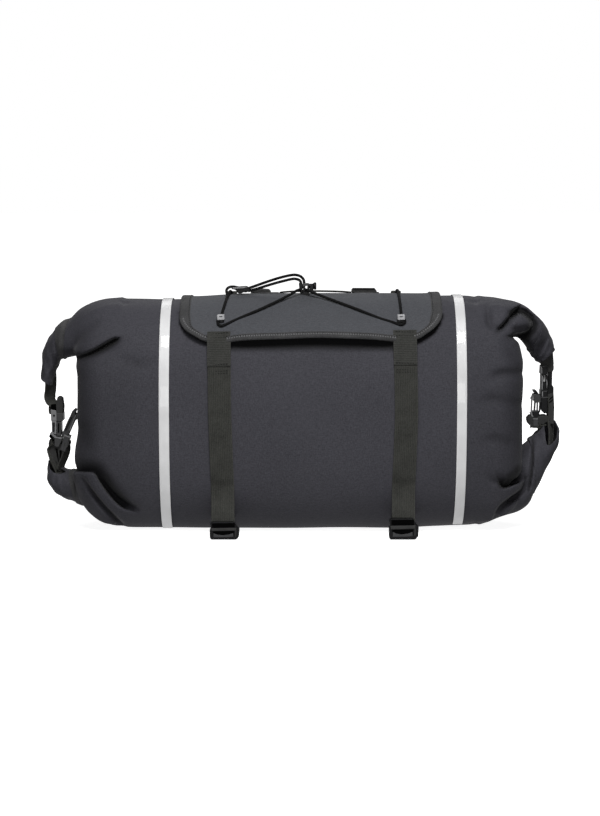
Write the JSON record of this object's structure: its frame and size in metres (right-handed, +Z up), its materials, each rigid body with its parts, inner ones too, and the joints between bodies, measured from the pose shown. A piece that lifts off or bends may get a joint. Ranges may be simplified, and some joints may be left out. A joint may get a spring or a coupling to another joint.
{
  "type": "bicycle handlebar bag",
  "caption": "Tubular roll-end handlebar bag with a bound top flap, two closing straps with ladder locks, elastic cord with a cord lock, and buckled end loops",
  "frame": {"origin": "on the supporting surface, under the middle of the whole assembly's bounding box", "axes": "+X to the bag's right as seen from the front, along the tube; +Y to the rear, towards the handlebar; +Z up"},
  "size_m": [0.5676, 0.2342, 0.2777],
  "materials": {
    "bag_fabric": "matt coated polyester, fine plain weave",
    "flap_fabric": "matt coated canvas, slightly lighter and coarser",
    "binding_tape": "woven edge tape with zigzag stitches",
    "webbing": "ribbed polypropylene webbing, dark olive grey",
    "reflective_tape": "glass-bead reflective strip",
    "black_plastic": "moulded acetal, fine grain",
    "grey_plastic": "moulded nylon, light grey where lit",
    "elastic_cord": "braided sleeve over rubber"
  },
  "bodies": {
    "bag": {"bag_shell": "bag_fabric", "buckle_female_left": "black_plastic", "buckle_female_right": "black_plastic", "buckle_male_left": "black_plastic", "buckle_male_right": "black_plastic", "bungee_cord_left": "elastic_cord", "bungee_cord_right": "elastic_cord", "closure_tab_bottom_left": "webbing", "closure_tab_bottom_right": "webbing", "closure_tab_top_left": "webbing", "closure_tab_top_right": "webbing", "cord_anchor_left": "black_plastic", "cord_anchor_right": "black_plastic", "cord_clip_left": "grey_plastic", "cord_clip_right": "grey_plastic", "cord_lock": "black_plastic", "cord_lock_base": "webbing", "cord_pull_tab": "black_plastic", "cord_rear_anchor_left": "webbing", "cord_rear_anchor_right": "webbing", "cord_tail_loop": "elastic_cord", "flap": "flap_fabric", "flap_binding": "binding_tape", "front_strap_left": "webbing", "front_strap_right": "webbing", "handlebar_buckle_left": "black_plastic", "handlebar_buckle_right": "black_plastic", "handlebar_strap_left": "webbing", "handlebar_strap_right": "webbing", "ladder_lock_left": "black_plastic", "ladder_lock_right": "black_plastic", "loose_buckle_left": "black_plastic", "loose_buckle_right": "black_plastic", "loose_tab_left": "webbing", "loose_tab_right": "webbing", "rear_web_strap": "webbing", "reflective_band_left": "reflective_tape", "reflective_band_right": "reflective_tape", "roll_closure_left": "bag_fabric", "roll_closure_right": "bag_fabric", "sleeve_bottom_left": "bag_fabric", "sleeve_bottom_right": "bag_fabric", "sleeve_top_left": "bag_fabric", "sleeve_top_right": "bag_fabric", "under_strap_left": "webbing", "under_strap_right": "webbing"},
    "lock_button": {"cord_lock_button": "grey_plastic"}
  },
  "joints": [
    {"name": "cord_lock_press", "type": "slide", "parent": "bag", "child": "lock_button", "axis": [-1, 0, 0], "range_m": [0, 0.0025], "stiffness_N_per_m": 300, "springref_m": -0.002}
  ]
}
